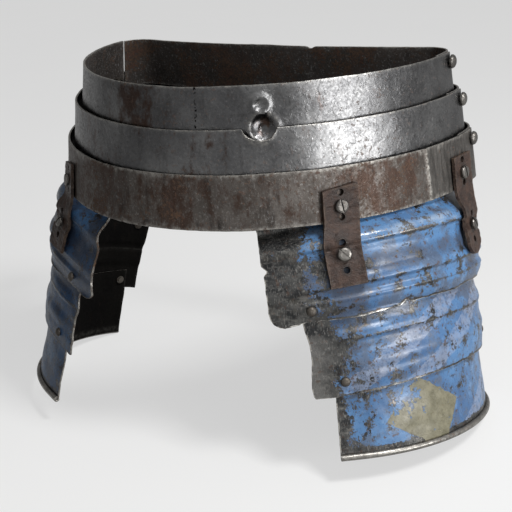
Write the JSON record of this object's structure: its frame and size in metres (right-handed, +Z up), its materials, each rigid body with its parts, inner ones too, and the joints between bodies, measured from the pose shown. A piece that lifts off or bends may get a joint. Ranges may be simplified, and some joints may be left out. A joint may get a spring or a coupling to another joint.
{
  "type": "tasset",
  "caption": "Hip defence of hinged hoop lames with a strapped, hinged thigh tasset of nested plates hanging at each side.",
  "frame": {"origin": "centre of the waist opening, level with the top rim", "axes": "+Z up along the wearer, +Y to the wearer's back, +X to the side with the full set of bolts"},
  "size_m": [0.4954, 0.2857, 0.354],
  "materials": {
    "worn_steel": "worn bare steel with rust flecks",
    "rusty_steel": "rusty brown sheet steel",
    "blue_paint": "worn blue paint over bare steel",
    "brown_leather": "dry wrinkled dark brown leather",
    "screw_steel": "pale grey fastener steel"
  },
  "bodies": {
    "top_lame": {"top_lame_front": "worn_steel", "top_lame_back": "rusty_steel", "top_side_bolt": "screw_steel", "top_side_nut": "screw_steel"},
    "middle_lame": {"middle_lame_front": "worn_steel", "middle_lame_back": "rusty_steel", "middle_pivot_bolts": "screw_steel", "middle_pivot_washers": "screw_steel", "middle_pivot_nuts": "screw_steel"},
    "bottom_lame": {"bottom_lame_front": "rusty_steel", "bottom_lame_back": "rusty_steel", "bottom_pivot_bolts": "screw_steel", "bottom_pivot_washers": "screw_steel", "bottom_pivot_nuts": "screw_steel", "right_front_strap": "brown_leather", "right_side_strap": "brown_leather", "right_lame_screws": "screw_steel", "right_lame_nuts": "screw_steel", "left_front_strap": "brown_leather", "left_side_strap": "brown_leather", "left_lame_screws": "screw_steel", "left_lame_nuts": "screw_steel"},
    "right_upper": {"right_upper_plate": "blue_paint", "right_plate_screws": "screw_steel", "right_plate_nuts": "screw_steel", "right_upper_rivets": "screw_steel", "right_upper_burrs": "screw_steel"},
    "right_middle": {"right_middle_plate": "blue_paint", "right_lower_rivets": "screw_steel", "right_lower_burrs": "screw_steel"},
    "right_lower": {"right_lower_plate": "blue_paint", "right_rim_wire": "screw_steel"},
    "left_upper": {"left_upper_plate": "blue_paint", "left_plate_screws": "screw_steel", "left_plate_nuts": "screw_steel", "left_upper_rivets": "screw_steel", "left_upper_burrs": "screw_steel"},
    "left_middle": {"left_middle_plate": "blue_paint", "left_lower_rivets": "screw_steel", "left_lower_burrs": "screw_steel"},
    "left_lower": {"left_lower_plate": "blue_paint", "left_rim_wire": "screw_steel"}
  },
  "joints": [
    {"name": "middle_lame_tilt", "type": "hinge", "parent": "top_lame", "child": "middle_lame", "pos_m": [0, 0.09395, -0.044], "axis": [1, 0, 0], "range_deg": [-2.5, 2.5]},
    {"name": "bottom_lame_tilt", "type": "hinge", "parent": "middle_lame", "child": "bottom_lame", "pos_m": [0, 0.09348, -0.081], "axis": [1, 0, 0], "range_deg": [-2.5, 2.5]},
    {"name": "right_tasset_swing", "type": "hinge", "parent": "bottom_lame", "child": "right_upper", "pos_m": [0.1783, -0.0124, -0.1303], "axis": [-0.4815, -0.8761, 0.0254], "range_deg": [-4, 18], "deforming": ["right_front_strap", "right_side_strap"]},
    {"name": "right_middle_swing", "type": "hinge", "parent": "right_upper", "child": "right_middle", "pos_m": [0.16024, 0.01247, -0.2076], "axis": [-0.3282, -0.9388, 0.1043], "range_deg": [-4, 4]},
    {"name": "right_lower_swing", "type": "hinge", "parent": "right_middle", "child": "right_lower", "pos_m": [0.18338, 0.00081, -0.2708], "axis": [-0.3112, -0.944, 0.1098], "range_deg": [-5, 5]},
    {"name": "left_tasset_swing", "type": "hinge", "parent": "bottom_lame", "child": "left_upper", "pos_m": [-0.1783, -0.0124, -0.1303], "axis": [-0.4815, 0.8761, -0.0254], "range_deg": [-4, 18], "deforming": ["left_front_strap", "left_side_strap"]},
    {"name": "left_middle_swing", "type": "hinge", "parent": "left_upper", "child": "left_middle", "pos_m": [-0.16024, 0.01247, -0.2076], "axis": [-0.3282, 0.9388, -0.1043], "range_deg": [-4, 4]},
    {"name": "left_lower_swing", "type": "hinge", "parent": "left_middle", "child": "left_lower", "pos_m": [-0.18338, 0.00081, -0.2708], "axis": [-0.3112, 0.944, -0.1098], "range_deg": [-5, 5]}
  ]
}
